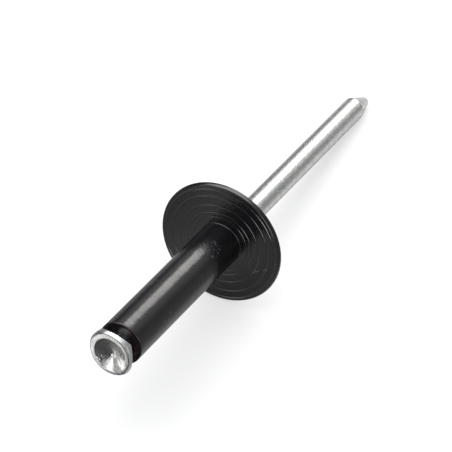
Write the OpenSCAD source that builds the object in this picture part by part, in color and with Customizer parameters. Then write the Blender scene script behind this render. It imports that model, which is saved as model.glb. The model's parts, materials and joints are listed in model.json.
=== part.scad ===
// Large-flange blind rivet, not yet set, lying on its flange rim and on the tail of its mandrel.
// Two pieces: a hollow body of painted aluminium and the steel mandrel that is pulled through it.
// Each piece is drawn upright, with its axis on Z, the flange seat at Z = 0 and the mandrel head
// at the top. The last module lays both down together. Azimuths turn about that axis, seen from
// the head, and start at the side that faces the floor when the rivet lies down.

/* [Shank] */
// Outside diameter of the hollow shank
shank_d = 4.8; // [4:0.1:6.4]
// Length of the shank from the flange seat to its free end
shank_l = 21; // [10:0.5:30]
// Rounding of the shank's free end
shank_end_r = 0.15; // [0.1:0.05:0.6]
// Fillet between the shank and the flange seat
seat_fillet_r = 0.15; // [0.1:0.05:0.5]
// Radial clearance of the bore round the mandrel
bore_clearance = 0.07; // [0.03:0.01:0.1]

/* [Flange] */
// Outside diameter of the flange
flange_d = 14; // [12:0.5:16]
// Thickness of the flange at its round rim
rim_t = 0.8; // [0.5:0.05:1.2]
// Height of the flange on the axis, from the seat to the top of its low crown
flange_h = 1.7; // [1.4:0.05:2.5]
// Chamfer where the mandrel leaves the crown
crown_chamfer = 0.2; // [0.05:0.05:0.4]
// Distances of the four pressed rings of the seat, inwards from the flange edge
ring_insets = [1.15, 2.25, 3.1, 3.65]; // [1:0.05:4]
// Radius of the nose that presses each ring
ring_nose_r = 0.12; // [0.08:0.01:0.2]
// Depth of each ring
ring_depth = 0.05; // [0.02:0.01:0.07]

/* [Mandrel wire] */
// Diameter of the mandrel wire
wire_d = 2.6; // [2:0.05:3]
// Length of the wire from the flange seat to its pointed tail
tail_l = 33.95; // [25:0.05:45]
// Distance of the break notch below the free end of the shank
notch_inset = 3; // [2:0.1:5]
// Depth of the break notch
notch_depth = 0.35; // [0.2:0.05:0.6]
// Width of the break notch at the wire's surface
notch_w = 0.8; // [0.4:0.05:1.2]

/* [Tail point] */
// Diameter of the blunt end of the tail
point_d = 1; // [0.6:0.05:1.2]
// Rounding of the blunt end
point_round_r = 0.2; // [0.05:0.05:0.25]
// Half angle of the pointed tail
point_half_angle = 18.5; // [12:0.5:30]
// Distance of the blunt end from the wire's axis
point_offset = 0.3; // [0:0.05:0.4]
// Lean of the point back towards the wire's axis
point_lean = 7; // [0:0.5:8]
// Azimuth of the side to which the blunt end is offset
point_azimuth = 59; // [0:1:359]

/* [Mandrel head] */
// Greatest diameter of the mandrel head
head_d = 5.1; // [4.4:0.05:5.2]
// Diameter of the head's flat face
face_d = 4.7; // [4.2:0.05:4.9]
// Height of the bevelled edge between the face and the greatest diameter
edge_h = 0.26; // [0.1:0.02:0.4]
// Distance from the shank's free end to the head's face
head_h = 1.9; // [1.6:0.05:2.4]
// Height of the head's round wall below the bevel, half way between two corners
wall_h = 0.06; // [0.02:0.02:0.2]
// Slope of the four flats that the gripping dies press under the head
flat_slope = 35; // [25:1:40]
// Azimuth of one of the four corners between the flats
corner_azimuth = 40; // [0:1:89]
// Greatest diameter of the cone that blends the head into the wire
root_d = 4; // [3.4:0.1:4.2]
// Gap between the head and the shank's free end
seat_gap = 0.03; // [0.02:0.01:0.1]
// Tilt of the head, which was headed a little askew
head_tilt = 5.3; // [0:0.1:6]
// Azimuth of the side to which the head's face is tilted
tilt_azimuth = 292; // [0:1:359]

/* [Head dimple] */
// Diameter of the conical dimple at the face
dimple_d = 3.8; // [2.6:0.05:3.8]
// Depth of the dimple
dimple_depth = 0.6; // [0.3:0.05:0.7]
// Diameter of the dimple's floor
dimple_floor_d = 0.4; // [0.2:0.05:0.8]
// Distance of the dimple from the middle of the face
dimple_offset = 0.22; // [0:0.02:0.25]
// Azimuth of the side to which the dimple is offset
dimple_azimuth = 20; // [0:1:359]

/* [Hidden] */
$fn = 96;

// Overrun of a cutting solid past the surface that it opens
overrun = 0.5;

shank_r = shank_d / 2;
wire_r = wire_d / 2;
bore_r = wire_r + bore_clearance;

flange_r = flange_d / 2;
rim_r = rim_t / 2;
rim_centre_r = flange_r - rim_r;
// The crown is a sphere about the axis that runs smoothly into the round rim
crown_sphere_r = (pow(rim_centre_r, 2) + pow(flange_h - rim_r, 2) - pow(rim_r, 2))
    / (2 * (flange_h - rim_t));
crown_centre_z = crown_sphere_r - flange_h;
crown_edge_r = rim_centre_r * (1 + rim_r / (crown_sphere_r - rim_r));

head_r = head_d / 2;
face_z = head_h;
widest_z = face_z - edge_h;
wall_foot_z = widest_z - wall_h;
// Half width of the pyramid of flats at a height above the shank's end
function flat_reach(z) = head_r - (wall_foot_z - z) / tan(flat_slope);
root_r = root_d / 2;
// The root cone starts inside the wire, so that the tilted head leaves no step on it
root_foot_r = wire_r - widest_z * sin(head_tilt);
root_foot_z = seat_gap + wire_r * sin(head_tilt) + widest_z * (1 - cos(head_tilt));
root_top_z = wall_foot_z - (head_r - root_r) * tan(flat_slope);
root_spread = (root_r - root_foot_r) / (root_top_z - root_foot_z);
root_cover_z = (root_top_z + wall_foot_z) / 2;
root_cover_r = root_foot_r + root_spread * (root_cover_z - root_foot_z);

point_r = point_d / 2;
point_round_centre_r = point_r
    - point_round_r * (1 - sin(point_half_angle)) / cos(point_half_angle);
// Length of wire that is drawn with its point, long enough for the cone to clear the wire
pointed_l = 1.6 * (wire_r + point_offset - point_r)
    / tan(point_half_angle - point_lean);

// Where the point's cone meets the line of the wire that faces the floor: the root of a t^2 + b t + c,
// with t counted from the blunt end along the wire
point_shift = sin(point_lean) * (wire_r * cos(point_azimuth) - point_offset);
point_tan = tan(point_half_angle);
point_sec2 = 1 + pow(point_tan, 2);
meet_a = pow(cos(point_lean), 2) * point_sec2 - 1;
meet_b = 2 * cos(point_lean) * (point_r * point_tan - point_shift * point_sec2);
meet_c = pow(point_shift, 2) * point_sec2 - 2 * point_r * point_tan * point_shift + pow(point_r, 2)
    - pow(wire_r, 2) + 2 * wire_r * point_offset * cos(point_azimuth) - pow(point_offset, 2);
meet_l = (-meet_b + sqrt(pow(meet_b, 2) - 4 * meet_a * meet_c)) / (2 * meet_a);

// At rest the rim and the lower line of the wire both touch the floor
touch_l = tail_l - meet_l;
rest_run = touch_l - rim_r;
rest_rise = rim_centre_r - wire_r;
rest_tilt = atan2(rest_rise, rest_run) + asin(rim_r / norm([rest_run, rest_rise]));
seat_height = touch_l * sin(rest_tilt) + wire_r * cos(rest_tilt);
head_reach = (shank_l + head_h) * cos(rest_tilt) + face_d / 2 * sin(rest_tilt);
tail_reach = tail_l * cos(rest_tilt) + point_r * sin(rest_tilt);
middle_x = (head_reach - tail_reach) / 2;

// Half section of the shank, with its free end rounded
module shank_section() {
    translate([0, -rim_r])
        square([shank_r, shank_l - shank_end_r + rim_r]);
    square([shank_r - shank_end_r, shank_l]);
    translate([shank_r - shank_end_r, shank_l - shank_end_r])
        circle(r = shank_end_r);
}

// Half section of the fillet between the shank and the seat
module fillet_section() {
    translate([shank_r, 0])
        difference() {
            translate([-overrun, -rim_r])
                square([seat_fillet_r + overrun, seat_fillet_r + rim_r]);
            translate([seat_fillet_r, seat_fillet_r])
                circle(r = seat_fillet_r);
        }
}

// Half section of the flange: a round rim, a flat web and a low crown
module flange_section() {
    translate([rim_centre_r, -rim_r])
        circle(r = rim_r);
    translate([0, -rim_t])
        square([rim_centre_r, rim_t]);
    intersection() {
        translate([0, crown_centre_z])
            circle(r = crown_sphere_r, $fn = 720);
        translate([0, -flange_h - overrun])
            square([crown_edge_r, flange_h + overrun - rim_r]);
    }
}

// Sections of the noses that press the rings into the seat
module ring_sections() {
    for (inset = ring_insets)
        translate([flange_r - inset, ring_nose_r - ring_depth])
            circle(r = ring_nose_r);
}

// Section of everything that the mandrel passes through
module bore_section() {
    translate([-overrun, -flange_h - overrun])
        square([bore_r + overrun, flange_h + shank_l + 2 * overrun]);
    translate([0, -flange_h])
        polygon([
            [0, -overrun],
            [bore_r + crown_chamfer + overrun, -overrun],
            [bore_r, crown_chamfer],
            [0, crown_chamfer]
        ]);
}

// Hollow body: flange and shank, upset from one blank and painted black
module rivet_body() {
    color("#1b1c1f")
        rotate_extrude()
            intersection() {
                difference() {
                    union() {
                        difference() {
                            flange_section();
                            ring_sections();
                        }
                        shank_section();
                        fillet_section();
                    }
                    bore_section();
                }
                translate([0, -flange_h - overrun])
                    square([flange_r + overrun, flange_h + shank_l + 2 * overrun]);
            }
}

// Plain wire with the notch at which it breaks when the rivet is set
module wire() {
    notch_z = shank_l - notch_inset;
    rotate_extrude()
        polygon([
            [0, -tail_l - overrun],
            [wire_r, -tail_l - overrun],
            [wire_r, notch_z - notch_w / 2],
            [wire_r - notch_depth, notch_z],
            [wire_r, notch_z + notch_w / 2],
            [wire_r, shank_l + root_top_z],
            [0, shank_l + root_top_z]
        ]);
}

// Blunt cone that leaves the tail its point
module point_cone(length) {
    sine = sin(point_half_angle);
    cosine = cos(point_half_angle);
    rotate_extrude() {
        intersection() {
            translate([point_round_centre_r, point_round_r])
                circle(r = point_round_r);
            square(point_r + point_round_r);
        }
        polygon([
            [0, 0],
            [point_round_centre_r, 0],
            [point_round_centre_r + point_round_r * cosine, point_round_r * (1 - sine)],
            [point_r + length * point_tan, length],
            [0, length]
        ]);
    }
}

// Wire with its tail cut to a blunt point that sits a little off the axis
module pointed_wire() {
    intersection() {
        wire();
        union() {
            rotate(point_azimuth)
                translate([point_offset, 0, -tail_l])
                    rotate([0, -point_lean, 0])
                        point_cone(pointed_l);
            translate([0, 0, -tail_l + pointed_l / 2])
                cylinder(r = 2 * wire_r, h = tail_l + shank_l + head_h);
        }
    }
}

// Round blank of the head: flat face, bevelled edge and upright wall
module head_blank() {
    rotate_extrude()
        polygon([
            [0, 0],
            [head_r, 0],
            [head_r, widest_z],
            [face_d / 2, face_z],
            [0, face_z]
        ]);
}

// One opposite pair of flats, as a wedge that is long across the head
module flat_pair() {
    top_z = face_z + overrun;
    rotate([90, 0, 0])
        linear_extrude(height = 2 * head_d, center = true)
            polygon([
                [-flat_reach(root_foot_z), root_foot_z],
                [flat_reach(root_foot_z), root_foot_z],
                [flat_reach(top_z), top_z],
                [-flat_reach(top_z), top_z]
            ]);
}

// Head with its four flats, root cone and dimple, before it is tilted
module straight_head() {
    difference() {
        union() {
            intersection() {
                head_blank();
                rotate(corner_azimuth - 45)
                    flat_pair();
                rotate(corner_azimuth + 45)
                    flat_pair();
            }
            translate([0, 0, root_foot_z])
                cylinder(r1 = root_foot_r, r2 = root_cover_r, h = root_cover_z - root_foot_z);
        }
        rotate(dimple_azimuth)
            translate([dimple_offset, 0, face_z - dimple_depth])
                cylinder(
                    r1 = dimple_floor_d / 2,
                    r2 = dimple_d - dimple_floor_d / 2,
                    h = 2 * dimple_depth
                );
    }
}

// Head turned about the middle of its widest ring, which stays on the wire's axis
module mandrel_head() {
    translate([0, 0, shank_l + widest_z])
        rotate(tilt_azimuth)
            rotate([0, head_tilt, 0])
                rotate(-tilt_azimuth)
                    translate([0, 0, -widest_z])
                        straight_head();
}

// Mandrel: drawn steel wire with a cold-formed head and a pointed tail
module mandrel() {
    color("silver") {
        pointed_wire();
        mandrel_head();
    }
}

// Lays an upright piece on the floor, head towards +X, resting on the rim and the tail
module lie_down() {
    translate([-middle_x, 0, seat_height])
        rotate([0, 90 - rest_tilt, 0])
            children();
}

lie_down() rivet_body();
lie_down() mandrel();
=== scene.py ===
"""Looks of an unset blind rivet that lies on its flange rim and on the tail of its mandrel.

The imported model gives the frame. Two finished pieces stand for its two nodes: the black painted
body and the bright steel mandrel. Sizes are in millimetres and become metres as a mesh is placed.
"""

import json
import logging
import math
from dataclasses import dataclass, field
from enum import Enum
from typing import Any, Iterable, Mapping, Sequence

import bmesh
import bpy
from mathutils import Matrix, Vector

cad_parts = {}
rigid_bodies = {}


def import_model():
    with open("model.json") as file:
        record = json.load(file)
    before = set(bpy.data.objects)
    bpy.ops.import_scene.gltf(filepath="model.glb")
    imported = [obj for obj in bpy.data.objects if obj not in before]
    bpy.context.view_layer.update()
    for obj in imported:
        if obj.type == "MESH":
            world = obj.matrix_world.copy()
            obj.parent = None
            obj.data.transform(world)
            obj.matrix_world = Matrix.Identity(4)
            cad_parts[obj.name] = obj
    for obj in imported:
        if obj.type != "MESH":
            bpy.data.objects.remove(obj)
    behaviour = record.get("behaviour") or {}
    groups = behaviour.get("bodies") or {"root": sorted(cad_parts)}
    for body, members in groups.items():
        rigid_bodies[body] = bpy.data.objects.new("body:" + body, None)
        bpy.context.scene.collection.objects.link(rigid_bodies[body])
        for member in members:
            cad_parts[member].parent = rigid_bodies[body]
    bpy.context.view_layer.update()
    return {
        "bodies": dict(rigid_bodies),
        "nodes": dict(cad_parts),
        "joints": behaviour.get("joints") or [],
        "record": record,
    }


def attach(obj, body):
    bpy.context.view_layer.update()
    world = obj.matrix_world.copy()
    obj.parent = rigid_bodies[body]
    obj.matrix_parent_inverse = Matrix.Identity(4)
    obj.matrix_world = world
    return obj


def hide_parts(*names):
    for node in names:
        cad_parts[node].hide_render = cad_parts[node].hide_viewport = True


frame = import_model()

log = logging.getLogger("rivet")

MM = 0.001
WELD = 1e-5
Socket = bpy.types.NodeSocket
Point = tuple[float, float]
Triple = tuple[float, float, float]
Colour = tuple[float, float, float]
# The limits of a fade: it is 0 at the first number and 1 at the second.
Span = tuple[float, float]


class Slot(Enum):
    """Material slots of the record."""

    PAINT = "body_paint"
    STEEL = "mandrel_steel"


class Node(Enum):
    """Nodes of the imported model."""

    BODY = "rivet_body"
    MANDREL = "mandrel"


class Signal:
    """A shader number that Python expressions can be written on."""

    def __init__(self, board: "Board", socket: Socket) -> None:
        """Keep the board and the output socket.

        Args:
            board: The node tree that new nodes are added to.
            socket: The output socket that carries the number.
        """
        self.board = board
        self.socket = socket

    def __add__(self, other: "Signal | float") -> "Signal":
        """Add."""
        return self.board.maths("ADD", self, other)

    __radd__ = __add__

    def __mul__(self, other: "Signal | float") -> "Signal":
        """Multiply."""
        return self.board.maths("MULTIPLY", self, other)

    __rmul__ = __mul__

    def __sub__(self, other: "Signal | float") -> "Signal":
        """Subtract."""
        return self.board.maths("SUBTRACT", self, other)

    def __rsub__(self, other: float) -> "Signal":
        """Subtract from a plain number."""
        return self.board.maths("SUBTRACT", other, self)

    def __truediv__(self, other: "Signal | float") -> "Signal":
        """Divide."""
        return self.board.maths("DIVIDE", self, other)

    def __abs__(self) -> "Signal":
        """Take the size without its sign."""
        return self.board.maths("ABSOLUTE", self, 0.0)

    def greater(self, other: "Signal | float") -> "Signal":
        """Take the larger of two numbers."""
        return self.board.maths("MAXIMUM", self, other)

    def rise(self, low: float, high: float) -> "Signal":
        """Go smoothly from 0 at one value to 1 at another.

        Args:
            low: The value that gives 0.
            high: The value that gives 1, which may be the smaller of the two.

        Returns:
            A number from 0 to 1.
        """
        if high < low:
            return 1.0 - self.rise(high, low)
        node = self.board.node(
            "ShaderNodeMapRange",
            {"interpolation_type": "SMOOTHSTEP"},
            {"Value": self, "From Min": low, "From Max": high},
        )
        return Signal(self.board, node.outputs["Result"])


class Board:
    """A node tree on which a finish is written."""

    def __init__(self, tree: bpy.types.NodeTree) -> None:
        """Clear the tree and keep it.

        Args:
            tree: The tree of a material or of the world.
        """
        self.tree = tree
        tree.nodes.clear()

    def node(
        self,
        kind: str,
        settings: Mapping[str, Any] | None = None,
        sockets: Mapping[str | int, Any] | None = None,
    ) -> bpy.types.Node:
        """Add a node.

        Args:
            kind: The node's type.
            settings: Its own settings, set first.
            sockets: Values or links of its input sockets, by name or number.

        Returns:
            The new node.
        """
        made = self.tree.nodes.new(kind)
        for name, value in (settings or {}).items():
            setattr(made, name, value)
        for name, value in (sockets or {}).items():
            socket = made.inputs[name]
            if isinstance(value, Signal):
                self.tree.links.new(value.socket, socket)
            elif isinstance(value, Socket):
                self.tree.links.new(value, socket)
            else:
                socket.default_value = value
        return made

    def maths(self, operation: str, first: Signal | float, second: Signal | float) -> Signal:
        """Add a Math node.

        Args:
            operation: What the node does.
            first: Its first number.
            second: Its second number.

        Returns:
            The result.
        """
        node = self.node("ShaderNodeMath", {"operation": operation}, {0: first, 1: second})
        return Signal(self, node.outputs[0])

    def measure(self, operation: str, first: Any, second: Sequence[float]) -> Signal:
        """Add a Vector Math node that gives a number.

        Args:
            operation: What the node does.
            first: Its first vector.
            second: Its second vector.

        Returns:
            The number.
        """
        node = self.node("ShaderNodeVectorMath", {"operation": operation}, {0: first, 1: second})
        return Signal(self, node.outputs["Value"])

    def reach(self, place: Socket, middle: Triple = (0.0, 0.0, 0.0)) -> Signal:
        """Measure the distance from a point, which is the origin unless one is given."""
        return self.measure("DISTANCE", place, middle)

    def scaled(self, vector: Socket, factors: Triple) -> Socket:
        """Multiply a vector part by part.

        Args:
            vector: The vector.
            factors: What its three parts are multiplied by.

        Returns:
            The socket with the new vector.
        """
        sockets = {0: vector, 1: factors}
        node = self.node("ShaderNodeVectorMath", {"operation": "MULTIPLY"}, sockets)
        return node.outputs["Vector"]

    def split(self, vector: Socket) -> list[Signal]:
        """Give a vector's three numbers."""
        node = self.node("ShaderNodeSeparateXYZ", None, {"Vector": vector})
        return [Signal(self, part) for part in node.outputs]

    def placed(
        self, place: Socket, origin: Any, turn: Any, unit: Triple = (1.0, 1.0, 1.0)
    ) -> Socket:
        """Give the coordinates in a frame that is set into another.

        Args:
            place: The coordinates in the outer frame.
            origin: The inner frame's origin.
            turn: The inner frame's turn, in radians.
            unit: The length of 1 along each of its axes.

        Returns:
            The socket with the coordinates in the inner frame.
        """
        node = self.node(
            "ShaderNodeMapping",
            {"vector_type": "TEXTURE"},
            {"Vector": place, "Location": origin, "Rotation": turn, "Scale": unit},
        )
        return node.outputs["Vector"]

    def blend(self, factor: Signal, low: Any, high: Any) -> Socket:
        """Mix two colours.

        Args:
            factor: 0 for the first colour and 1 for the second.
            low: A colour or a colour socket.
            high: A colour or a colour socket.

        Returns:
            The socket with the mixed colour.
        """
        first, second = [(*c, 1.0) if isinstance(c, tuple) else c for c in (low, high)]
        node = self.node("ShaderNodeMix", {"data_type": "RGBA"}, {0: factor, 6: first, 7: second})
        return node.outputs[2]

    def mix(self, factor: Any, low: Socket, high: Socket) -> Socket:
        """Mix two shaders.

        Args:
            factor: The share of the second shader.
            low: The shader at 0.
            high: The shader at 1.

        Returns:
            The mixed shader's socket.
        """
        return self.node("ShaderNodeMixShader", None, {0: factor, 1: low, 2: high}).outputs[0]

    def matt(self, colour: Colour, normal: Socket | None = None) -> Socket:
        """Add a matt shader of one colour, and with a bumped normal if one is given."""
        sockets = {"Color": (*colour, 1.0)} | ({} if normal is None else {"Normal": normal})
        return self.node("ShaderNodeBsdfDiffuse", None, sockets).outputs[0]

    def bump(self, height: Signal) -> Socket:
        """Turn a height, in millimetres, into a bumped normal."""
        sockets = {"Height": height, "Distance": MM, "Strength": 1.0}
        return self.node("ShaderNodeBump", None, sockets).outputs["Normal"]


@dataclass(frozen=True)
class Pose:
    """How the upright rivet is laid down, in degrees and millimetres."""

    tilt: float = 10.3969
    seat_x: float = 5.26736
    seat_z: float = 6.96382

    def turn(self) -> float:
        """Give the turn about Y that lays the upright rivet down, in radians."""
        return math.radians(90 - self.tilt)

    def matrix(self) -> Matrix:
        """Give the way from the upright rivet, in millimetres, to the lying one, in metres."""
        shift = Matrix.Translation((self.seat_x, 0, self.seat_z))
        return Matrix.Scale(MM, 4) @ shift @ Matrix.Rotation(self.turn(), 4, "Y")

    def below(self, along: float) -> Vector:
        """Give the place on the floor below a point of the lying axis.

        Args:
            along: The point's height above the flange seat, in millimetres.

        Returns:
            The place in millimetres in the row's frame.
        """
        spot = self.matrix() @ Vector((0, 0, along)) / MM
        return Vector((spot.x, spot.y, 0))


POSE = Pose()


def arc(middle: Point, radius: float, start: float, end: float, steps: int) -> list[Point]:
    """Give points on an arc.

    Args:
        middle: The arc's centre.
        radius: Its radius.
        start: Its first angle, in degrees.
        end: Its last angle, in degrees.
        steps: Number of pieces.

    Returns:
        The points, both ends included.
    """
    turns = [math.radians(start + (end - start) * i / steps) for i in range(steps + 1)]
    return [
        (middle[0] + radius * math.cos(a), middle[1] + radius * math.sin(a)) for a in turns
    ]


def even(first: float, last: float, steps: int) -> list[float]:
    """Give evenly spaced numbers.

    Args:
        first: The first number.
        last: The last number.
        steps: Number of gaps between them.

    Returns:
        The numbers, both ends included.
    """
    return [first + (last - first) * i / steps for i in range(steps + 1)]


def finish_mesh(shape: bmesh.types.BMesh, name: str) -> bpy.types.Object:
    """Lay a finished upright shape down and make it an object.

    Args:
        shape: The shape in millimetres.
        name: The new object's name.

    Returns:
        The object, at the origin, with its place in its mesh.
    """
    bmesh.ops.remove_doubles(shape, verts=shape.verts, dist=WELD)
    bmesh.ops.recalc_face_normals(shape, faces=shape.faces)
    bmesh.ops.transform(shape, matrix=POSE.matrix(), verts=shape.verts)
    for face in shape.faces:
        face.smooth = True
    mesh = bpy.data.meshes.new(name)
    shape.to_mesh(mesh)
    shape.free()
    made = bpy.data.objects.new(name, mesh)
    bpy.context.scene.collection.objects.link(made)
    return made


class RingLoft:
    """A closed skin that grows ring by ring from one middle point to another."""

    def __init__(self, columns: int) -> None:
        """Start an empty skin.

        Args:
            columns: Number of points on each ring.
        """
        self.columns = columns
        self.shape = bmesh.new()
        self.edges: list[bmesh.types.BMEdge] = []
        self.verts: list[bmesh.types.BMVert] = []

    def ring(self, places: Sequence[Vector]) -> None:
        """Grow the skin to the next ring.

        Args:
            places: The ring's points, in turn about the axis.
        """
        if not self.verts:
            made = bmesh.ops.create_circle(self.shape, segments=self.columns, radius=1)
            self.verts = made["verts"]
            self.edges = list(self.shape.edges)
        else:
            grown = bmesh.ops.extrude_edge_only(self.shape, edges=self.edges)["geom"]
            fresh = {g for g in grown if isinstance(g, bmesh.types.BMVert)}
            edges = [g for g in grown if isinstance(g, bmesh.types.BMEdge)]
            self.edges = [e for e in edges if fresh.issuperset(e.verts)]
            pairs: dict[bmesh.types.BMVert, bmesh.types.BMVert] = {}
            for vert in fresh:
                for edge in vert.link_edges:
                    other = edge.other_vert(vert)
                    if other not in fresh:
                        pairs[other] = vert
            self.verts = [pairs[v] for v in self.verts]
        for vert, place in zip(self.verts, places):
            vert.co = place

    def close(self, middle: Vector) -> None:
        """Gather the last ring in one point.

        Args:
            middle: The point.
        """
        self.ring([middle] * self.columns)


@dataclass
class RivetBody:
    """The hollow body: a shank with a large flange, in millimetres."""

    shank_r: float = 2.4
    shank_l: float = 20.75
    end_r: float = 0.08
    fillet_r: float = 0.08
    bore_r: float = 1.37
    flange_r: float = 6.99
    rim_low: float = 0.4
    rim_lip: float = 0.24
    rim_back_r: float = 0.3
    flange_h: float = 1.7
    chamfer: float = 0.2
    rings: tuple[Point, ...] = (
        (3.2, 0.06),
        (3.72, 0.08),
        (4.58, 0.08),
        (5.66, 0.09),
        (6.48, 0.14),
    )
    ring_depth: float = 0.375
    seat_step: float = 0.12
    turns: int = 320

    def seat_line(self) -> list[Point]:
        """Draw the seat from the fillet to the rim, with its pressed rings.

        Returns:
            Radius and height of its points, without the last one.
        """
        line: list[Point] = []
        at = self.shank_r + self.fillet_r
        for ring, half in self.rings:
            start = ring - half
            steps = max(2, round((start - at) / self.seat_step))
            line += [(r, 0.0) for r in even(at, start, steps)]
            for across in even(-1, 1, 12)[1:-1]:
                share = (1 + math.cos(math.pi * across)) / 2
                line.append((ring + across * half, -self.ring_depth * half * share))
            at = ring + half
        line += [(r, 0.0) for r in even(at, self.flange_r - self.rim_lip, 3)]
        return line[:-1]

    def rim_line(self) -> list[Point]:
        """Draw the rim, rounded from the seat down to its widest line.

        Returns:
            Radius and height of its points.
        """
        inner = self.flange_r - self.rim_lip
        quarter = arc((0, 0), 1, 90, 0, 16)
        return [(inner + self.rim_lip * x, self.rim_low * (y - 1)) for x, y in quarter]

    def section(self) -> list[Point]:
        """Draw the half section, from the bore's shank end round to the crown and back.

        Returns:
            Radius and height of its points, as a loop that isn't closed by a last point.
        """
        nose = self.flange_r - self.rim_back_r
        low = self.rim_low
        rise = self.flange_h - low
        ball = (nose**2 + rise**2 - self.rim_back_r**2) / (2 * (rise - self.rim_back_r))
        ball_z = ball - self.flange_h
        join = math.degrees(math.atan2(-low - ball_z, nose))
        foot = math.degrees(math.acos((self.bore_r + self.chamfer) / ball))
        end = self.shank_l - self.end_r
        line: list[Point] = [(self.bore_r, self.shank_l)]
        line += arc((self.shank_r - self.end_r, end), self.end_r, 90, 0, 10)
        line += [(self.shank_r, z) for z in even(end, self.fillet_r, 60)][1:-1]
        corner = (self.shank_r + self.fillet_r, self.fillet_r)
        line += arc(corner, self.fillet_r, 180, 270, 10)[:-1]
        line += self.seat_line()
        line += self.rim_line()
        line += arc((nose, -low), self.rim_back_r, 0, join, 12)[1:]
        line += arc((0, ball_z), ball, join, -foot, 28)[1:]
        crown = line[-1][1]
        line += [(self.bore_r, crown + self.chamfer)]
        line += [(self.bore_r, z) for z in even(crown + self.chamfer, self.shank_l, 6)][1:-1]
        return line

    def build(self) -> bpy.types.Object:
        """Turn the section about the axis and lay the body down.

        Returns:
            The finished body.
        """
        shape = bmesh.new()
        points = [shape.verts.new((r, 0, z)) for r, z in self.section()]
        edges = [shape.edges.new(pair) for pair in zip(points, points[1:] + points[:1])]
        bmesh.ops.spin(
            shape,
            geom=points + edges,
            cent=(0, 0, 0),
            axis=(0, 0, 1),
            angle=math.tau,
            steps=self.turns,
            use_merge=True,
        )
        return finish_mesh(shape, "painted_body")


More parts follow.
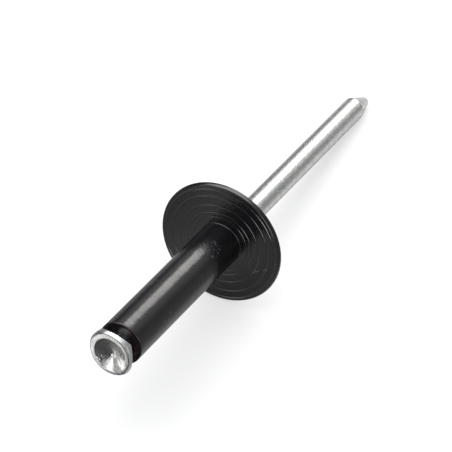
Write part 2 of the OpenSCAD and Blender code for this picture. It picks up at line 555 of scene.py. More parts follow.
@dataclass
class Mandrel:
    """The steel mandrel: tail point, wire and head, in millimetres."""

    wire_r: float = 1.3
    tail_l: float = 33.95
    shank_l: float = 21.0
    notch_inset: float = 3.0
    notch_depth: float = 0.35
    notch_w: float = 0.8
    neck_insets: Point = (1.0, 0.3)
    point_r: float = 0.5
    point_round_r: float = 0.2
    point_half: float = 18.5
    point_offset: float = 0.3
    point_lean: float = 7.0
    point_azimuth: float = 59.0
    point_room: float = 3.4
    point_reach: float = 8.0
    even_from: float = -2.0
    even_l: float = 8.0
    head_r: float = 2.55
    face_r: float = 2.35
    edge_h: float = 0.26
    head_h: float = 1.9
    wall_h: float = 0.06
    flat_slope: float = 35.0
    corner_azimuth: float = 40.0
    root_r: float = 2.0
    seat_gap: float = 0.03
    edge_soft: float = 0.035
    under_rings: int = 76
    wall_steps: tuple[Point, ...] = ((-0.004, 0.015), (-0.03, 0.05))
    bevel_inset: float = 0.01
    crease_out: float = 0.012
    crease_steps: tuple[Point, ...] = (
        (0.015, -0.025),
        (0.0, -0.022),
        (-0.02, -0.02),
        (-0.04, -0.01),
        (-0.06, -0.004),
        (-0.09, 0.0),
    )
    tilt: float = 5.3
    tilt_azimuth: float = 292.0
    dimple_r: float = 1.93
    dimple_depth: float = 0.58
    dimple_floor_r: float = 0.16
    lip_steps: tuple[Point, ...] = ((0.05, 0.0), (0.02, -0.005), (-0.01, -0.015))
    lip_room: float = 0.06
    pit_steps: tuple[Point, ...] = ((0.7, 0.0), (0.45, 0.02), (0.2, 0.05))
    pit_rise: float = 0.055
    dimple_bow: float = 1.05
    bow_swing: float = 0.3
    bow_azimuth: float = 225.0
    mouth_shift: Point = (0.11, 0.05)
    pit_shift: Point = (0.62, 0.06)
    columns: int = 240
    turns: list[float] = field(default_factory=list)

    def __post_init__(self) -> None:
        """Space the columns evenly about the axis."""
        self.turns = [math.tau * i / self.columns for i in range(self.columns)]

    def point_frame(self) -> Matrix:
        """Give the turn and shift of the tail's leaning cone."""
        return (
            Matrix.Rotation(math.radians(self.point_azimuth), 4, "Z")
            @ Matrix.Translation((self.point_offset, 0, -self.tail_l))
            @ Matrix.Rotation(math.radians(-self.point_lean), 4, "Y")
        )

    def cone_to_wire(self, turn: float) -> float:
        """Find where one line of the leaning cone meets the wire.

        Args:
            turn: The line's angle about the cone's own axis, in radians.

        Returns:
            The height above the cone's blunt end.
        """
        frame = self.point_frame()
        slope = math.tan(math.radians(self.point_half))
        low, high = 0.0, self.point_reach
        for _ in range(40):
            middle = (low + high) / 2
            radius = self.point_r + slope * middle
            at = frame @ Vector((radius * math.cos(turn), radius * math.sin(turn), middle))
            if math.hypot(at.x, at.y) < self.wire_r:
                low = middle
            else:
                high = middle
        return low

    def add_tail(self, loft: RingLoft) -> list[float]:
        """Grow the blunt tail point up to the wire.

        Args:
            loft: The skin.

        Returns:
            The angle of each column on the wire.
        """
        frame = self.point_frame()
        half = math.radians(self.point_half)
        middle_r = self.point_r - self.point_round_r * (1 - math.sin(half)) / math.cos(half)
        meets = [self.cone_to_wire(turn) for turn in self.turns]

        def place(radius: float, height: float, turn: float) -> Vector:
            """Give a point in the cone's own frame."""
            return frame @ Vector((radius * math.cos(turn), radius * math.sin(turn), height))

        loft.ring([frame @ Vector((0, 0, 0))] * self.columns)
        for share in (0.35, 0.7, 0.98):
            loft.ring([place(middle_r * share, 0, turn) for turn in self.turns])
        middle = (middle_r, self.point_round_r)
        rounding = arc(middle, self.point_round_r, -90, -self.point_half, 6)
        for radius, height in rounding:
            loft.ring([place(radius, height, turn) for turn in self.turns])
        start = rounding[-1][1]
        for share in (0.15, 0.3, 0.45, 0.6, 0.75, 0.88, 0.96, 0.985):
            ring = []
            for turn, meet in zip(self.turns, meets):
                height = start + (meet - start) * share
                ring.append(place(self.point_r + math.tan(half) * height, height, turn))
            loft.ring(ring)
        crest = [
            place(self.point_r + math.tan(half) * meet, meet, turn)
            for turn, meet in zip(self.turns, meets)
        ]
        angles = [math.atan2(at.y, at.x) for at in crest]
        for lift in (0.03, 0.2, 0.6):
            loft.ring(
                [
                    Vector((self.wire_r * math.cos(a), self.wire_r * math.sin(a), at.z + lift))
                    for a, at in zip(angles, crest)
                ]
            )
        return angles

    def add_wire(self, loft: RingLoft, angles: Sequence[float]) -> None:
        """Grow the plain wire through the body up to the head's root.

        Args:
            loft: The skin.
            angles: The angle of each column at the tail.
        """
        notch, half = self.shank_l - self.notch_inset, self.notch_w / 2
        behind = even(-self.tail_l + self.point_room, self.even_from, 24)
        neck = [self.shank_l - inset for inset in self.neck_insets]
        rings = [(self.wire_r, z) for z in [*behind, notch - half]]
        rings.append((self.wire_r - self.notch_depth, notch))
        rings += [(self.wire_r, z) for z in [notch + half, *neck]]
        for radius, height in rings:
            share = min(1.0, max(0.0, (height - self.even_from) / self.even_l))
            ring = []
            for angle, turn in zip(angles, self.turns):
                apart = (turn - angle + math.pi) % math.tau - math.pi
                at = angle + apart * share
                ring.append(Vector((radius * math.cos(at), radius * math.sin(at), height)))
            loft.ring(ring)

    def under_radius(self, height: float, turn: float) -> float:
        """Give the head's radius below its widest ring.

        Args:
            height: Height above the shank's free end, before the tilt.
            turn: Angle about the head's axis, in radians.

        Returns:
            The radius, with the edges between the surfaces a little rounded.
        """
        slope = math.tan(math.radians(self.flat_slope))
        foot = self.head_h - self.edge_h - self.wall_h
        from_corner = (math.degrees(turn) - self.corner_azimuth) % 90
        off = math.radians(from_corner - 45)
        flat = (self.head_r - (foot - height) / slope) / math.cos(off)
        root_low = self.wire_r - (self.head_h - self.edge_h) * math.sin(math.radians(self.tilt))
        root_top = foot - (self.head_r - self.root_r) * slope
        spread = (self.root_r - root_low) / (root_top - self.root_foot())
        root = root_low + spread * (height - self.root_foot())
        outer = (flat + self.head_r - math.hypot(flat - self.head_r, self.edge_soft)) / 2
        inner = (outer + root + math.hypot(outer - root, self.edge_soft)) / 2
        return max(inner, root_low)

    def root_foot(self) -> float:
        """Find where the root cone starts.

        Returns:
            The height of its foot above the shank's free end.
        """
        lean = math.radians(self.tilt)
        widest = self.head_h - self.edge_h
        return self.seat_gap + self.wire_r * math.sin(lean) + widest * (1 - math.cos(lean))

    def head_frame(self) -> Matrix:
        """Tilt the head about the middle of its widest ring.

        Returns:
            The way from the head's own frame, on the shank's end, to the upright rivet.
        """
        widest = self.head_h - self.edge_h
        across = Matrix.Rotation(math.radians(self.tilt_azimuth), 4, "Z")
        lean = Matrix.Rotation(math.radians(self.tilt), 4, "Y")
        return (
            Matrix.Translation((0, 0, self.shank_l + widest))
            @ across
            @ lean
            @ across.inverted()
            @ Matrix.Translation((0, 0, -widest))
        )

    def face_rings(self) -> list[tuple[float, float, float]]:
        """Give the rings from the widest one to the pit, as radius, height and shift.

        Returns:
            Radius, height and how far the ring's middle has moved: 0 on the head's axis, 1 at the
            dimple's mouth and 2 at its pit.
        """
        top, lip = self.head_h, self.dimple_r
        widest, pit = top - self.edge_h, top - self.dimple_depth
        crease = self.face_r + self.crease_out
        flat = crease + self.crease_steps[-1][0]
        inside = lip + self.lip_room
        mouth = top + self.lip_steps[-1][1]
        rings = [(self.head_r + out, widest + up, 0.0) for out, up in self.wall_steps]
        for share in (0.3, 0.5, 0.7, 0.85):
            radius = self.head_r - self.bevel_inset + (crease - self.head_r) * share
            rings.append((radius, top - self.edge_h * (1 - share), 0.0))
        rings += [(crease + out, top + up, 0.0) for out, up in self.crease_steps]
        rings += [(flat + (inside - flat) * share, top, share) for share in (0.25, 0.5, 0.75)]
        rings += [(lip + out, top + up, 1.0) for out, up in self.lip_steps]
        for share in even(0.03, 0.97, 14):
            rings.append((lip + (self.dimple_floor_r - lip) * share, mouth, 1.0 + share))
        rings += [(self.dimple_floor_r * part, pit + up, 2.0) for part, up in self.pit_steps]
        return rings

    def middle(self, shift: float) -> Vector:
        """Give the middle of a ring of the dimple.

        Args:
            shift: 0 on the head's axis, 1 at the mouth and 2 at the pit.

        Returns:
            The middle in the head's frame, at height 0.
        """
        mouth, pit = Vector((*self.mouth_shift, 0)), Vector((*self.pit_shift, 0))
        if shift < 1:
            return mouth * shift
        return mouth.lerp(pit, shift - 1)

    def sink(self, share: float, turn: float) -> float:
        """Give how deep the dimple's wall is.

        Args:
            share: 0 at the mouth and 1 at the pit.
            turn: Angle about the head's axis, in radians.

        Returns:
            The depth below the face, in millimetres.
        """
        bow = self.dimple_bow + self.bow_swing * math.cos(turn - math.radians(self.bow_azimuth))
        return self.dimple_depth * (1 - (1 - share) ** bow)

    def add_head(self, loft: RingLoft) -> None:
        """Grow the head: root, flats, wall, bevel, face and dimple.

        Args:
            loft: The skin.
        """
        frame = self.head_frame()
        for height in even(self.root_foot(), self.head_h - self.edge_h, self.under_rings):
            ring = []
            for turn in self.turns:
                radius = self.under_radius(height, turn)
                at = Vector((radius * math.cos(turn), radius * math.sin(turn), height))
                ring.append(frame @ at)
            loft.ring(ring)
        for radius, height, shift in self.face_rings():
            middle = self.middle(shift)
            ring = []
            for turn in self.turns:
                at = Vector((radius * math.cos(turn), radius * math.sin(turn), height))
                if 1 < shift < 2:
                    at.z -= self.sink(shift - 1, turn)
                ring.append(frame @ (at + middle))
            loft.ring(ring)
        peak = Vector((0, 0, self.head_h - self.dimple_depth + self.pit_rise))
        loft.close(frame @ (self.middle(2) + peak))

    def build(self) -> bpy.types.Object:
        """Grow the whole mandrel from its tail to its dimple and lay it down.

        Returns:
            The finished mandrel.
        """
        loft = RingLoft(self.columns)
        angles = self.add_tail(loft)
        self.add_wire(loft, angles)
        self.add_head(loft)
        return finish_mesh(loft.shape, "steel_mandrel")


class Finish:
    """Start of every finish: a material with millimetre coordinates on the object."""

    name = "finish"

    def start(self) -> tuple[bpy.types.Material, Board, Socket]:
        """Make an empty material.

        Returns:
            The material, its board and the object's coordinates in millimetres, turned so that
            Z runs along the rivet's axis.
        """
        material = bpy.data.materials.new(self.name)
        material.use_nodes = True
        board = Board(material.node_tree)
        place = board.node("ShaderNodeTexCoord").outputs["Object"]
        seat = (POSE.seat_x * MM, 0, POSE.seat_z * MM)
        return material, board, board.placed(place, seat, (0, POSE.turn(), 0), (MM, MM, MM))

    def end(self, board: Board, surface: Socket) -> None:
        """Close the finish.

        Args:
            board: The material's board.
            surface: The shader that the surface shows.
        """
        board.node("ShaderNodeOutputMaterial", None, {"Surface": surface})


@dataclass(frozen=True)
class Pattern:
    """A noise pattern of a finish: cells in a millimetre, octaves, and how high it stands.

    A stretched pattern has its place multiplied first, and a cut one is 0 below the cut's first
    number and 1 above its second.
    """

    per_mm: float
    detail: float
    rough: float
    height: float = 0.0
    stretch: Triple | None = None
    cut: Span | None = None

    def write(self, board: Board, place: Socket) -> Signal:
        """Write the pattern.

        Args:
            board: The material's board.
            place: The piece's coordinates, in millimetres.

        Returns:
            A number about 0.5, or from 0 to 1 where the pattern is cut.
        """
        if self.stretch is not None:
            place = board.scaled(place, self.stretch)
        sockets = {"Vector": place, "Scale": self.per_mm}
        sockets |= {"Detail": self.detail, "Roughness": self.rough}
        node = board.node("ShaderNodeTexNoise", {"normalize": True}, sockets)
        value = Signal(board, node.outputs["Fac"])
        return value if self.cut is None else value.rise(*self.cut)


@dataclass(frozen=True)
class Mark:
    """A small speck, scratch or nick, placed on the upright piece."""

    along: float
    azimuth: float
    radius: float
    length: float
    width: float
    turn: float = 0.0
    height: float = 0.0
    edge: Span = (1.0, 0.35)

    def mask(self, board: Board, place: Socket) -> Signal:
        """Write where the mark is.

        Args:
            board: The material's board.
            place: The piece's coordinates, in millimetres.

        Returns:
            1 in the mark's middle and 0 outside it.
        """
        around = math.radians(self.azimuth)
        middle = (self.radius * math.cos(around), self.radius * math.sin(around), self.along)
        half = (self.length / 2, self.width / 2, (self.height or self.width) / 2)
        own = board.placed(place, middle, (0, 0, math.radians(self.turn)), half)
        return board.reach(own).rise(*self.edge)


def all_masks(board: Board, place: Socket, marks: Iterable[Mark]) -> Signal:
    """Join the masks of several marks.

    Args:
        board: The material's board.
        place: The piece's coordinates, in millimetres.
        marks: The marks.

    Returns:
        1 in any mark and 0 elsewhere.
    """
    joined: Signal | None = None
    for mark in marks:
        one = mark.mask(board, place)
        joined = one if joined is None else joined.greater(one)
    assert joined is not None
    return joined


@dataclass(frozen=True)
class BlackPaint(Finish):
    """Glossy black paint, baked on: orange peel, fine brushing, pimples, nicks and scratches,
    with painted glints at the root, a painted reddish-brown reflection and painted shade on the
    free end.
    """

    name: str = "black_paint"
    colour: Colour = (0.0035, 0.0035, 0.0042)
    painted_brown_reflection: Colour = (0.01, 0.003, 0.002)
    painted_shade_end: Colour = (0.0064, 0.0033, 0.0032)
    dust_and_glint: Colour = (0.3, 0.3, 0.3)
    roughness: float = 0.17
    peel: Pattern = Pattern(0.9, 2.0, 0.5, 0.022)
    grain: Pattern = Pattern(7.0, 2.0, 0.6, 0.006)
    streak: Pattern = Pattern(1.3, 2.0, 0.6, 0.011, stretch=(1.0, 1.0, 5.0))
    wave: Pattern = Pattern(1.0, 3.0, 0.6, 0.012, stretch=(0.7, 0.7, 3.2))
    swirl: Pattern = Pattern(1.0, 2.0, 0.6, 0.006)
    swirl_round: float = 1.6
    swirl_across: float = 9.0
    speck: Pattern = Pattern(3.6, 3.0, 0.7, 0.002, cut=(0.58, 0.68))
    root_speck: float = 0.03
    gaps: Pattern = Pattern(9.0, 1.0, 0.5, cut=(0.4, 0.6))
    blotch: Pattern = Pattern(1.3, 1.0, 0.5, cut=(0.42, 0.6))
    pimple_h: float = 0.1
    nick_h: float = -0.12
    scratch_h: float = 0.02
    seat: Span = (0.4, 0.1)
    root_top: Span = (5.6, 4.4)
    root_foot: Span = (2.4, 3.4)
    root_way: Triple = (-0.92, 0.39, 0.0)
    root_side: Span = (0.86, 0.97)
    end_along: Span = (20.6, 20.7)
    end_within: Span = (2.34, 2.28)
    end_share: float = 0.7
    brown_along: Span = (20.3, 20.75)
    peel_dull: float = 0.1
    grain_dull: float = 0.12
    root_dull: float = 0.06
    scratch_dust: float = 0.6
    painted_glint_speck: float = 0.2
    pimples: tuple[Mark, ...] = (
        Mark(4.83, 74.3, 2.4, 0.34, 0.34),
        Mark(15.96, 108.2, 2.4, 0.22, 0.22),
        Mark(14.66, 114.8, 2.4, 0.2, 0.2),
        Mark(3.78, 147.5, 2.4, 0.3, 0.3),
        Mark(14.1, 106.0, 2.4, 0.14, 0.14),
        Mark(15.2, 104.0, 2.4, 0.16, 0.16),
    )
    nicks: tuple[Mark, ...] = (
        Mark(12.9, 206.0, 2.4, 0.5, 0.42),
        Mark(12.2, 200.0, 2.4, 0.3, 0.34),
    )
    scratches: tuple[Mark, ...] = (
        Mark(0.0, 67.3, 4.69, 0.75, 0.1, 150.0),
        Mark(0.0, 70.5, 4.95, 0.5, 0.08, 158.0),
        Mark(0.0, 79.5, 5.64, 0.6, 0.12, 20.0),
        Mark(0.0, 77.0, 5.55, 0.34, 0.1, 100.0),
    )

    def make(self) -> bpy.types.Material:
        """Write the finish.

        Returns:
            The material.
        """
        material, board, place = self.start()
        x, y, along = board.split(place)
        flat = board.scaled(place, (1.0, 1.0, 0.0))
        radius = board.reach(flat)
        round_axis = {
            "X": x / radius * self.swirl_round,
            "Y": y / radius * self.swirl_round,
            "Z": radius * self.swirl_across,
        }
        around = board.node("ShaderNodeCombineXYZ", None, round_axis).outputs[0]
        on_seat = along.rise(*self.seat)
        on_shank = 1.0 - on_seat
        # The root zone lies on the side that faces root_way, where the highlight ends on the
        # shank; its pale specks are painted glints.
        root = along.rise(*self.root_top) * along.rise(*self.root_foot)
        side = board.measure("DOT_PRODUCT", flat, self.root_way) / radius
        root = root * side.rise(*self.root_side)
        peel, grain, streak, wave = [
            pattern.write(board, place)
            for pattern in (self.peel, self.grain, self.streak, self.wave)
        ]
        speck, gaps, blotch = [
            pattern.write(board, place) for pattern in (self.speck, self.gaps, self.blotch)
        ]
        scratch = all_masks(board, place, self.scratches) * gaps
        height = (
            peel * self.peel.height
            + grain * self.grain.height
            + streak * on_shank * self.streak.height
            + wave * on_shank * self.wave.height
            + self.swirl.write(board, around) * on_seat * self.swirl.height
            + speck * root * self.root_speck
            + speck * self.speck.height
            + all_masks(board, place, self.pimples) * self.pimple_h
            + all_masks(board, place, self.nicks) * self.nick_h
            + scratch * self.scratch_h
        )
        normal = board.bump(height)
        rough = self.roughness + (peel - 0.5) * self.peel_dull
        rough = rough + (grain - 0.5) * self.grain_dull + root * self.root_dull
        # Painted reflection: reddish-brown blotches near the free end stand in for reddish-brown
        # reflections there.
        painted_brown_reflection = along.rise(*self.brown_along) * blotch
        base = board.blend(painted_brown_reflection, self.colour, self.painted_brown_reflection)
        # Real dust pales the scratches; the pale specks at the root are painted glints.
        dust_and_glint = scratch * self.scratch_dust + speck * root * self.painted_glint_speck
        base = board.blend(dust_and_glint, base, self.dust_and_glint)
        paint = board.node(
            "ShaderNodeBsdfPrincipled",
            None,
            {"Base Color": base, "Roughness": rough, "Normal": normal, "IOR": 1.5},
        )
        # Painted shade: the end face is mixed into a dark matt shader in place of the shade that
        # the mandrel's head casts on it.
        end = along.rise(*self.end_along) * radius.rise(*self.end_within) * self.end_share
        self.end(board, board.mix(end, paint.outputs["BSDF"], board.matt(self.painted_shade_end, normal)))
        return material


@dataclass(frozen=True)
class DrawnSteel(Finish):
    """Drawn and tumbled steel: bright and satin, grainy, with a burnished dimple in its head, and
    a painted shade line along one side of the crease round its face.
    """

    head: Matrix
    mouth: Point
    name: str = "drawn_steel"
    colour: Colour = (0.63, 0.62, 0.595)
    cool: Colour = (0.52, 0.54, 0.545)
    pale: Colour = (0.8, 0.795, 0.78)
    grime_and_shade: Colour = (0.08, 0.075, 0.07)
    roughness: float = 0.25
    grain: Pattern = Pattern(4.5, 3.0, 0.65, 0.019)
    lines: Pattern = Pattern(9.0, 2.0, 0.6, 0.003, stretch=(1.0, 1.0, 0.12))
    cloud: Pattern = Pattern(1.6, 2.0, 0.5, 0.05)
    pits: Pattern = Pattern(8.0, 1.0, 0.5, -0.01, cut=(0.62, 0.72))
    ridge_h: float = 0.04
    cool_cut: Span = (0.35, 0.65)
    dimple_within: Span = (1.96, 1.9)
    dimple_along: Span = (0.9, 1.1)
    crease_r: float = 2.33
    crease_half: Span = (0.05, 0.025)
    crease_along: Span = (1.7, 1.8)
    crease_way: Triple = (-0.89, 0.46, 0.0)
    crease_side: Span = (-0.1, 0.2)
    burnish: float = 0.75
    cloud_dull: float = 0.16
    dimple_dull: float = -0.09
    ridge_dull: float = 0.35
    dimple_pale: float = 0.7
    painted_crease_shade: float = 0.85
    pit_grime: float = 0.26
    ridges: tuple[Mark, ...] = (
        Mark(1.6, -8.0, 1.2, 1.2, 0.1, 160.0, 2.0),
        Mark(1.6, -16.0, 1.0, 0.7, 0.08, 150.0, 2.0),
        Mark(1.6, 6.0, 0.95, 0.5, 0.07, 175.0, 2.0),
    )

    def make(self) -> bpy.types.Material:
        """Write the finish.

        Returns:
            The material.
        """
        material, board, place = self.start()
        own = board.placed(place, self.head.to_translation(), self.head.to_euler())
        high = board.split(own)[2]
        flat = board.scaled(own, (1.0, 1.0, 0.0))
        radius = board.reach(flat)
        from_mouth = board.reach(flat, (*self.mouth, 0.0))
        dimple = from_mouth.rise(*self.dimple_within) * high.rise(*self.dimple_along)
        side = board.measure("DOT_PRODUCT", flat, self.crease_way) / radius
        # Painted shade: a dark line in the crease round the face, on the side that faces
        # crease_way.
        crease = abs(radius - self.crease_r).rise(*self.crease_half)
        crease = crease * high.rise(*self.crease_along) * side.rise(*self.crease_side)
        grain, lines, cloud, pits = [
            pattern.write(board, place)
            for pattern in (self.grain, self.lines, self.cloud, self.pits)
        ]
        ridge = all_masks(board, own, self.ridges)
        rest = 1.0 - dimple * self.burnish
        height = (
            grain * rest * self.grain.height
            + lines * self.lines.height
            + pits * rest * self.pits.height
            + ridge * self.ridge_h
            + cloud * dimple * self.cloud.height
        )
        rough = self.roughness + (cloud - 0.5) * self.cloud_dull
        rough = rough + dimple * self.dimple_dull + ridge * self.ridge_dull
        bright = board.blend(cloud.rise(*self.cool_cut), self.colour, self.cool)
        bright = board.blend(dimple * self.dimple_pale, bright, self.pale)
        # Real grime darkens the pits; the crease line is painted shade.
        grime_and_shade = crease * self.painted_crease_shade + pits * rest * self.pit_grime
        bright = board.blend(grime_and_shade, bright, self.grime_and_shade)
        sockets = {"Base Color": bright, "Metallic": 1.0, "Roughness": rough}
        sockets["Normal"] = board.bump(height)
        steel = board.node("ShaderNodeBsdfPrincipled", None, sockets)
        self.end(board, steel.outputs["BSDF"])
        return material


@dataclass(frozen=True)
class SoftLamp:
    """A round soft box, placed by its direction from the rivet, as the camera sees it."""

    name: str
    right: float
    up: float
    away: float
    distance: float
    width: float
    radiance: float
    colour: Colour = (1.0, 1.0, 1.0)

    def power(self) -> float:
        """Give the lamp's power, in watts, from how bright its face looks."""
        area = math.pi * (self.width * MM / 2) ** 2
        return self.radiance * math.pi * area


@dataclass(frozen=True)
class SkyGlow:
    """A soft patch of the room that is brighter or darker than the rest."""

    right: float
    up: float
    away: float
    inner: float
    outer: float
    strength: float


@dataclass
class Studio:
    """Pale floor, plain soft light and the camera, in millimetres and degrees."""

    azimuth: float = 28.798
    elevation: float = 44.414
    distance: float = 317.21
    focal: float = 241.87
    aim: Triple = (3.8335, -0.0341, 8.2631)
    sensor_w: float = 36.0
    clip: Point = (10.0, 20000.0)
    floor_size: float = 3000.0
    horizon: float = 0.36
    zenith: float = 1.1
    zenith_band: Span = (0.55, 0.97)
    room: Colour = (0.98, 0.99, 1.0)
    lamps: tuple[SoftLamp, ...] = (
        SoftLamp("key_lamp", 0.33, 0.505, 0.8, 500, 245, 5.0, (1.0, 0.98, 0.94)),
        SoftLamp("fill_lamp", -0.879, 0.208, -0.429, 600, 212, 2.0, (0.97, 0.985, 1.0)),
        SoftLamp("front_lamp", -0.13, 0.13, -0.983, 600, 290, 6.0),
    )
    glows: tuple[SkyGlow, ...] = (
        SkyGlow(0.36, 0.51, 0.78, 14, 44, 0.6),
        SkyGlow(-0.65, 0.02, 0.75, 20, 55, -0.3),
        SkyGlow(-0.88, 0.15, -0.45, 12, 30, 0.5),
        SkyGlow(-0.5, 0.0, -0.866, 6, 16, -0.33),
        SkyGlow(-0.195, 0.961, 0.195, 16, 46, 4.8),
    )
    white: Colour = (1.0, 1.0, 1.0)
    # Grey paper lights the rivet, and the camera sees pale, softly glowing paper in its place.
    # The grey paper is painted lighter near the rivet and darker far off, a painted pool of
    # light.
    near_paper: Colour = (0.42, 0.417, 0.41)
    far_paper: Colour = (0.17, 0.17, 0.17)
    far_edge: Span = (3.0, 18.0)
    far_squash: Triple = (0.2, 1.0, 1.0)
    seen_paper: Colour = (0.8, 0.8, 0.8)
    seen_glow: float = 0.86
    seen_share: float = 0.72
    # A painted pool of light and a painted shadow on the paper, which only glossy rays see,
    # placed from below the mandrel's head.
    head_along: float = 22.0
    painted_sheen_paper: Colour = (0.74, 0.74, 0.72)
    sheen_left: float = 21.0
    sheen_near: float = 6.5
    sheen_half: Point = (9.0, 7.0)
    sheen_edge: Span = (1.2, 0.7)
    painted_shadow_paper: Colour = (0.03, 0.03, 0.03)
    dark_way: Point = (-0.44, -0.9)
    dark_aside: float = 2.0
    dark_half: float = 4.0
    dark_spread: float = 0.2
    dark_edge: Span = (1.1, 0.8)
    dark_start: Span = (-3.0, 2.0)
    corner: Triple = (6.0, -5.5, 0.0)
    corner_edge: Span = (7.0, 4.5)
    corner_share: float = 0.85

    def heading(self) -> tuple[Vector, Vector]:
        """Give the camera's level directions.

        Returns:
            The directions to the right and away.
        """
        turn = math.radians(self.azimuth)
        away = Vector((-math.cos(turn), -math.sin(turn), 0))
        return Vector((away.y, -away.x, 0)), away

    def towards(self, right: float, up: float, away: float) -> Vector:
        """Turn a direction that is level with the camera's into one of the row's frame.

        Args:
            right: Its share to the right.
            up: Its share upwards.
            away: Its share away from the camera.

        Returns:
            The direction, of length 1.
        """
        side, forward = self.heading()
        return (side * right + forward * away + Vector((0, 0, up))).normalized()

    def add_camera(self) -> None:
        """Place the camera of the photograph."""
        rise = math.radians(self.elevation)
        look = self.towards(0, -math.sin(rise), math.cos(rise))
        data = bpy.data.cameras.new("photo_camera")
        data.lens = self.focal
        data.sensor_width = self.sensor_w
        data.clip_start, data.clip_end = [reach * MM for reach in self.clip]
        camera = bpy.data.objects.new("photo_camera", data)
        camera.location = (Vector(self.aim) - look * self.distance) * MM
        camera.rotation_euler = look.to_track_quat("-Z", "Y").to_euler()
        bpy.context.scene.collection.objects.link(camera)
        bpy.context.scene.camera = camera

    def add_lamps(self) -> None:
        """Hang the soft boxes."""
        for lamp in self.lamps:
            data = bpy.data.lights.new(lamp.name, "AREA")
            data.shape = "DISK"
            data.size = lamp.width * MM
            data.energy = lamp.power()
            data.color = lamp.colour
            towards = self.towards(lamp.right, lamp.up, lamp.away)
            hung = bpy.data.objects.new(lamp.name, data)
            hung.location = towards * lamp.distance * MM
            hung.rotation_euler = towards.to_track_quat("Z", "Y").to_euler()
            bpy.context.scene.collection.objects.link(hung)

    def add_world(self) -> None:
        """Write the sky: white to the camera, a soft room to everything else."""
        world = bpy.data.worlds.new("soft_room")
        world.use_nodes = True
        bpy.context.scene.world = world
        board = Board(world.node_tree)
        ray = board.node("ShaderNodeTexCoord").outputs["Generated"]
        level = board.split(ray)[2].rise(*self.zenith_band)
        light = level * (self.zenith - self.horizon) + self.horizon
        for glow in self.glows:
            towards = self.towards(glow.right, glow.up, glow.away)
            edge, middle = math.cos(math.radians(glow.outer)), math.cos(math.radians(glow.inner))
            near = board.measure("DOT_PRODUCT", ray, towards).rise(edge, middle)
            light = light + near * glow.strength
        room, white = [
            board.node(
                "ShaderNodeBackground", None, {"Color": (*colour, 1.0), "Strength": strength}
            ).outputs[0]
            for colour, strength in ((self.room, light), (self.white, 1.0))
        ]
        camera_ray = board.node("ShaderNodeLightPath").outputs["Is Camera Ray"]
        board.node("ShaderNodeOutputWorld", None, {"Surface": board.mix(camera_ray, room, white)})

    def add_floor(self) -> None:
        """Lay the floor: pale to the camera, with a faint shadow, and grey to everything else,
        with a painted pool of light, and a painted sheen and a painted shadow that only glossy
        rays see.
        """
        shape = bmesh.new()
        bmesh.ops.create_grid(shape, x_segments=2, y_segments=2, size=self.floor_size * MM / 2)
        mesh = bpy.data.meshes.new("floor")
        shape.to_mesh(mesh)
        shape.free()
        floor = bpy.data.objects.new("floor", mesh)
        bpy.context.scene.collection.objects.link(floor)
        material = bpy.data.materials.new("pale_floor")
        material.use_nodes = True
        board = Board(material.node_tree)
        place = board.node("ShaderNodeTexCoord").outputs["Object"]
        path = board.node("ShaderNodeLightPath")
        glossy = Signal(board, path.outputs["Is Glossy Ray"])
        # Painted pool of light: the grey paper darkens from near the rivet to far off.
        near_by, far_off = [reach * MM for reach in self.far_edge]
        far = board.reach(board.scaled(place, self.far_squash)).rise(near_by, far_off)
        paper = board.mix(far, board.matt(self.near_paper), board.matt(self.far_paper))
        # Painted sheen: paler paper that only glossy rays see.
        painted_sheen = self.painted_sheen(board, place) * glossy
        paper = board.mix(painted_sheen, paper, board.matt(self.painted_sheen_paper))
        # Painted shadow: darker paper below the head that only glossy rays see.
        painted_shadow = self.painted_shadow(board, place) * glossy
        paper = board.mix(painted_shadow, paper, board.matt(self.painted_shadow_paper))
        glow = board.node(
            "ShaderNodeEmission", None, {"Color": (*self.white, 1.0), "Strength": self.seen_glow}
        )
        seen = board.mix(self.seen_share, board.matt(self.seen_paper), glow.outputs[0])
        surface = board.mix(path.outputs["Is Camera Ray"], paper, seen)
        board.node("ShaderNodeOutputMaterial", None, {"Surface": surface})
        mesh.materials.append(material)

    def painted_shadow(self, board: Board, place: Socket) -> Signal:
        """Write the painted shadow below the head: darker paper which only glossy rays see.

        Args:
            board: The floor's board.
            place: The floor's coordinates, in metres.

        Returns:
            1 on the painted shadow and 0 outside it.
        """
        middle = POSE.below(self.head_along)
        right, away = self.dark_way
        way = self.towards(right, 0, away)
        turn = (0, 0, math.atan2(way.y, way.x))
        own = board.placed(place, middle * MM, turn, (MM, MM, MM))
        ahead, across, _ = board.split(own)
        half = ahead.greater(0.0) * self.dark_spread + self.dark_half
        strip = (abs(across + self.dark_aside) / half).rise(*self.dark_edge)
        corner = board.reach(own, self.corner).rise(*self.corner_edge) * self.corner_share
        return strip.greater(corner) * ahead.rise(*self.dark_start)

    def painted_sheen(self, board: Board, place: Socket) -> Signal:
        """Write the painted sheen beside the head: paler paper, which only glossy rays see,
        painted to brighten the reflection on the right of its dimple.

        Args:
            board: The floor's board.
            place: The floor's coordinates, in metres.

        Returns:
            1 on the painted sheen and 0 outside it.
        """
        left, near = self.towards(-1, 0, 0), self.towards(0, 0, -1)
        middle = POSE.below(self.head_along) + left * self.sheen_left + near * self.sheen_near
        turn = (0, 0, math.atan2(left.y, left.x))
        half_l, half_w = self.sheen_half
        own = board.placed(place, middle * MM, turn, (half_l * MM, half_w * MM, 1.0))
        return board.reach(own).rise(*self.sheen_edge)

    def build(self) -> None:
        """Set up the whole studio."""
        self.add_camera()
        self.add_lamps()
        self.add_world()
        self.add_floor()
        bpy.context.scene.view_settings.view_transform = "Standard"


def dress(piece: bpy.types.Object, material: bpy.types.Material, node: Node) -> None:
    """Give a piece its finish and its place in the frame.

    Args:
        piece: The finished piece.
        material: Its finish.
        node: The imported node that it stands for.
    """
    piece.data.materials.append(material)
    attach(piece, "root")
    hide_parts(node.value)
    log.info("%s: %d faces", piece.name, len(piece.data.polygons))


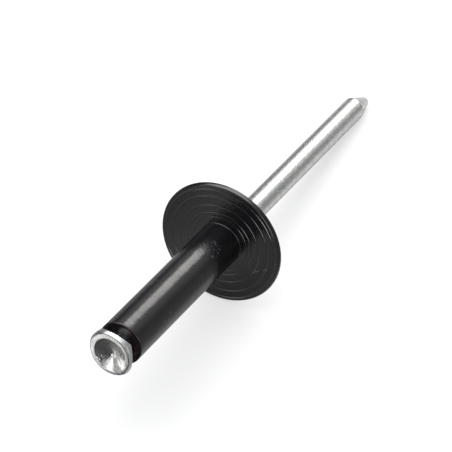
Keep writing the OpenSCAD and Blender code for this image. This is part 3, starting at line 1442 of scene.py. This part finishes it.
def main() -> None:
    """Build the rivet and its studio."""
    logging.basicConfig(level=logging.INFO)
    Studio().build()
    dress(RivetBody().build(), BlackPaint().make(), Node.BODY)
    mandrel = Mandrel()
    steel = DrawnSteel(mandrel.head_frame(), mandrel.mouth_shift)
    dress(mandrel.build(), steel.make(), Node.MANDREL)


if __name__ == "__main__":
    main()
